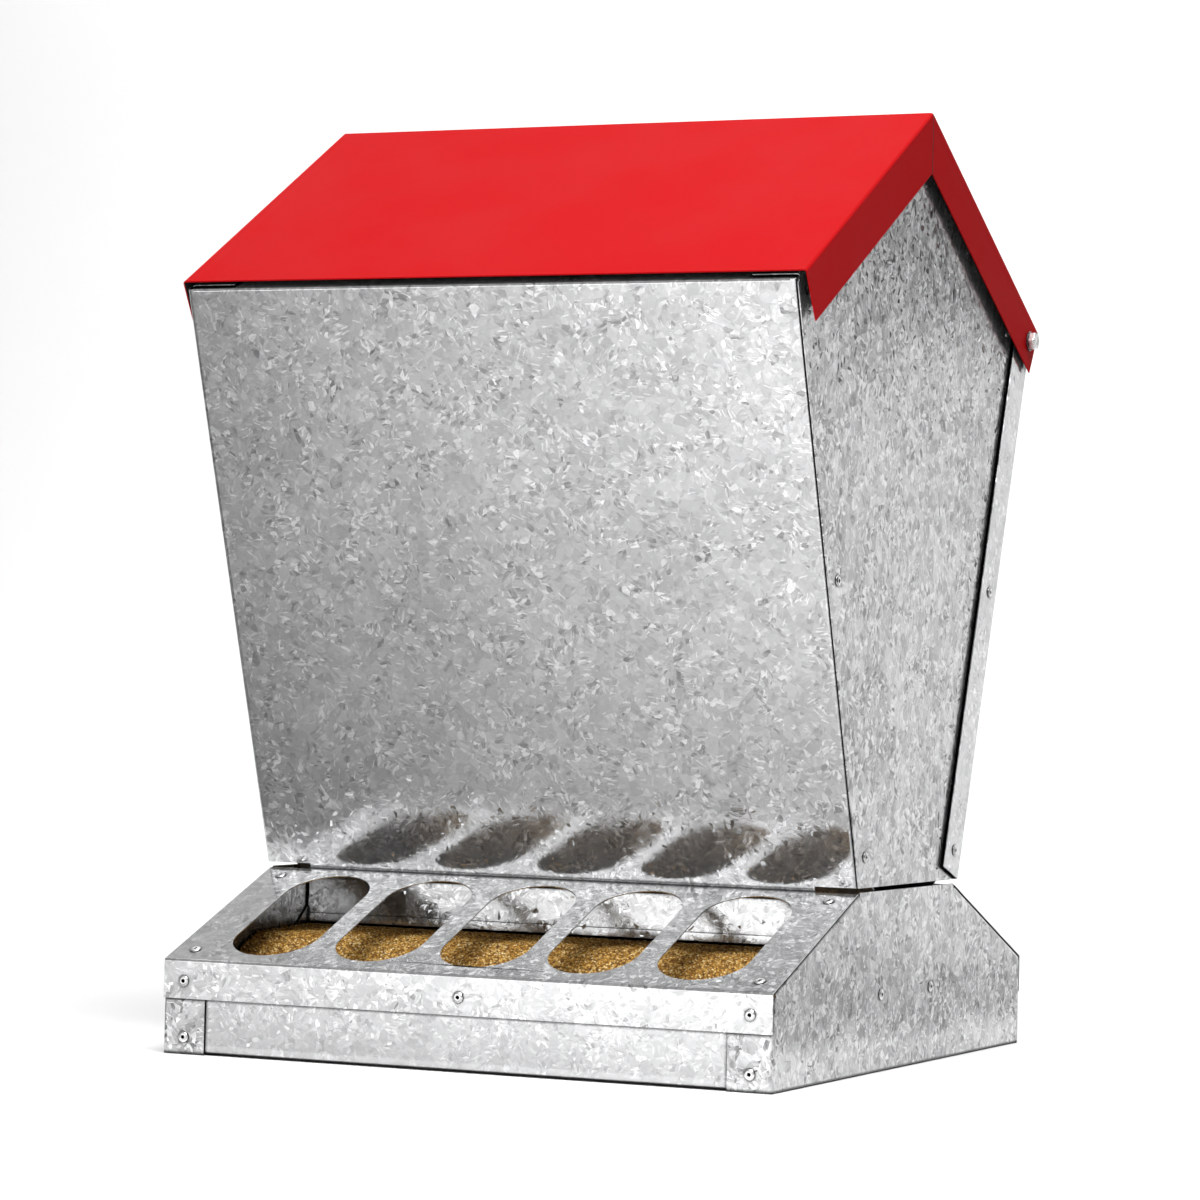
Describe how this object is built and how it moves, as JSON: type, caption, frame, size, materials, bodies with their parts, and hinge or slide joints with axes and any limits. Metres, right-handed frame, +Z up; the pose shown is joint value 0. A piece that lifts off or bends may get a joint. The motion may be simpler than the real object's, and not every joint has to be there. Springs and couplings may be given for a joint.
{
  "type": "gravity poultry feeder",
  "caption": "Double-sided sheet-metal gravity feeder with a tapering hopper, slotted feeding troughs front and rear, and a hinged gabled lid.",
  "frame": {"origin": "on the ground under the middle of the feeder", "axes": "+Z up, front of the feeder towards -Y, +X to the right as seen from the front; the lid's hinge is at the rear, +Y"},
  "size_m": [0.4014, 0.4064, 0.5563],
  "materials": {
    "galvanised_sheet": "hot-dip galvanised with a fine spangle, satin gloss",
    "red_paint": "smooth satin red paint on sheet steel",
    "zinc_hardware": "bright zinc-plated rivets, bolts, nuts and washers",
    "grain": "loose cracked grain, golden brown, matt"
  },
  "bodies": {
    "feeder": {"base_side_left": "galvanised_sheet", "base_side_right": "galvanised_sheet", "front_baffle": "galvanised_sheet", "front_lip_rivet_left": "zinc_hardware", "front_lip_rivet_middle": "zinc_hardware", "front_lip_rivet_right": "zinc_hardware", "front_panel": "galvanised_sheet", "front_plate_rivet_left_lower": "zinc_hardware", "front_plate_rivet_left_upper": "zinc_hardware", "front_plate_rivet_right_lower": "zinc_hardware", "front_plate_rivet_right_upper": "zinc_hardware", "front_tab_rivet_left": "zinc_hardware", "front_tab_rivet_right": "zinc_hardware", "grain": "grain", "hinge_bolt_left": "zinc_hardware", "hinge_bolt_right": "zinc_hardware", "hinge_nut_left": "zinc_hardware", "hinge_nut_right": "zinc_hardware", "hinge_spacer_left": "zinc_hardware", "hinge_spacer_right": "zinc_hardware", "hinge_washer_left": "zinc_hardware", "hinge_washer_right": "zinc_hardware", "hopper_side_left": "galvanised_sheet", "hopper_side_right": "galvanised_sheet", "inner_washer_left": "zinc_hardware", "inner_washer_right": "zinc_hardware", "left_baffle_rivet_front": "zinc_hardware", "left_baffle_rivet_rear": "zinc_hardware", "left_hopper_rivet_front_lower": "zinc_hardware", "left_hopper_rivet_front_upper": "zinc_hardware", "left_hopper_rivet_rear_lower": "zinc_hardware", "left_hopper_rivet_rear_upper": "zinc_hardware", "rear_baffle": "galvanised_sheet", "rear_lip_rivet_left": "zinc_hardware", "rear_lip_rivet_middle": "zinc_hardware", "rear_lip_rivet_right": "zinc_hardware", "rear_panel": "galvanised_sheet", "rear_plate_rivet_left_lower": "zinc_hardware", "rear_plate_rivet_left_upper": "zinc_hardware", "rear_plate_rivet_right_lower": "zinc_hardware", "rear_plate_rivet_right_upper": "zinc_hardware", "rear_tab_rivet_left": "zinc_hardware", "rear_tab_rivet_right": "zinc_hardware", "right_baffle_rivet_front": "zinc_hardware", "right_baffle_rivet_rear": "zinc_hardware", "right_hopper_rivet_front_lower": "zinc_hardware", "right_hopper_rivet_front_upper": "zinc_hardware", "right_hopper_rivet_rear_lower": "zinc_hardware", "right_hopper_rivet_rear_upper": "zinc_hardware", "trough": "galvanised_sheet"},
    "lid": {"lid": "red_paint"}
  },
  "joints": [
    {"name": "lid_hinge", "type": "hinge", "parent": "feeder", "child": "lid", "pos_m": [0, 0.177, 0.437], "axis": [-1, 0, 0], "range_deg": [0, 90]}
  ]
}
